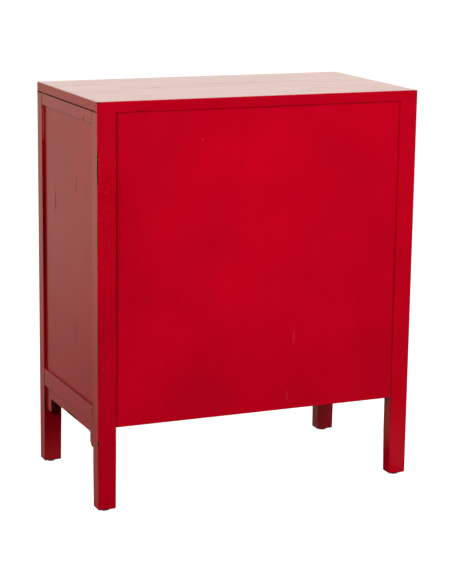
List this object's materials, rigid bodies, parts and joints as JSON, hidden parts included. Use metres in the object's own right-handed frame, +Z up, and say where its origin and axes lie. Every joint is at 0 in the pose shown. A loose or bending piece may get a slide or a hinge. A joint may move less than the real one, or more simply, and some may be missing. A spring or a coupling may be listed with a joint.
{
  "type": "entryway cabinet",
  "caption": "Red lacquered cabinet on square legs, with recessed side panels, bracketed aprons, drawers over doors and hanging ring pulls.",
  "frame": {"origin": "on the floor under the centre of the cabinet's overall box, pulls included", "axes": "+Z up, -Y towards the doors and drawers, +X to the right of someone who faces the doors"},
  "size_m": [0.7, 0.393, 0.83],
  "materials": {
    "lacquer": "satin red lacquer on wood, worn dark at the edges",
    "inside_wood": "plain oiled wood inside the case and drawers",
    "brass": "aged satin brass",
    "steel": "zinc-plated steel",
    "grey_plastic": "pale grey moulded plastic"
  },
  "bodies": {
    "case": {"top_board": "lacquer", "leg_front_left": "lacquer", "leg_front_right": "lacquer", "leg_back_left": "lacquer", "leg_back_right": "lacquer", "side_panel_left": "lacquer", "side_panel_right": "lacquer", "side_top_rail_left": "lacquer", "side_top_rail_right": "lacquer", "side_bottom_rail_left": "lacquer", "side_bottom_rail_right": "lacquer", "side_apron_left": "lacquer", "side_apron_right": "lacquer", "back_panel": "lacquer", "back_top_rail": "inside_wood", "back_drawer_rail": "inside_wood", "back_bottom_rail": "inside_wood", "front_top_rail": "lacquer", "front_middle_rail": "lacquer", "front_bottom_rail": "lacquer", "front_apron": "lacquer", "drawer_divider": "lacquer", "drawer_runners": "inside_wood", "centre_runner": "inside_wood", "bottom_board": "inside_wood", "bottom_cleats": "inside_wood", "shelf": "inside_wood", "shelf_cleats": "inside_wood", "glides": "grey_plastic", "magnetic_catch": "grey_plastic", "top_screws": "steel", "cleat_screws": "steel"},
    "door_left": {"door_left_hinge_stile": "lacquer", "door_left_meeting_stile": "lacquer", "door_left_rails": "lacquer", "door_left_panel": "lacquer", "door_left_pins": "brass", "door_left_strike": "steel", "door_left_pull": "brass"},
    "door_right": {"door_right_hinge_stile": "lacquer", "door_right_meeting_stile": "lacquer", "door_right_rails": "lacquer", "door_right_panel": "lacquer", "door_right_pins": "brass", "door_right_strike": "steel", "door_right_pull": "brass"},
    "drawer_left": {"drawer_left_front": "lacquer", "drawer_left_sides": "inside_wood", "drawer_left_back": "inside_wood", "drawer_left_bottom": "inside_wood", "drawer_left_pull": "brass"},
    "drawer_right": {"drawer_right_front": "lacquer", "drawer_right_sides": "inside_wood", "drawer_right_back": "inside_wood", "drawer_right_bottom": "inside_wood", "drawer_right_pull": "brass"},
    "door_left_ring": {"door_left_ring": "brass"},
    "door_right_ring": {"door_right_ring": "brass"},
    "drawer_left_ring": {"drawer_left_ring": "brass"},
    "drawer_right_ring": {"drawer_right_ring": "brass"}
  },
  "joints": [
    {"name": "door_left_hinge", "type": "hinge", "parent": "case", "child": "door_left", "pos_m": [-0.3015, -0.1745, 0.2155], "axis": [0, 0, -1], "range_deg": [0, 90]},
    {"name": "drawer_left_slide", "type": "slide", "parent": "case", "child": "drawer_left", "axis": [0, -1, 0], "range_m": [0, 0.24]},
    {"name": "door_right_hinge", "type": "hinge", "parent": "case", "child": "door_right", "pos_m": [0.3015, -0.1745, 0.2155], "axis": [0, 0, 1], "range_deg": [0, 90]},
    {"name": "drawer_right_slide", "type": "slide", "parent": "case", "child": "drawer_right", "axis": [0, -1, 0], "range_m": [0, 0.24]},
    {"name": "door_left_ring_hinge", "type": "hinge", "parent": "door_left", "child": "door_left_ring", "pos_m": [-0.0235, -0.192, 0.4255], "axis": [-1, 0, 0], "range_deg": [-5, 90]},
    {"name": "drawer_left_ring_hinge", "type": "hinge", "parent": "drawer_left", "child": "drawer_left_ring", "pos_m": [-0.162, -0.192, 0.723], "axis": [-1, 0, 0], "range_deg": [-5, 90]},
    {"name": "door_right_ring_hinge", "type": "hinge", "parent": "door_right", "child": "door_right_ring", "pos_m": [0.0235, -0.192, 0.4255], "axis": [-1, 0, 0], "range_deg": [-5, 90]},
    {"name": "drawer_right_ring_hinge", "type": "hinge", "parent": "drawer_right", "child": "drawer_right_ring", "pos_m": [0.162, -0.192, 0.723], "axis": [-1, 0, 0], "range_deg": [-5, 90]}
  ]
}
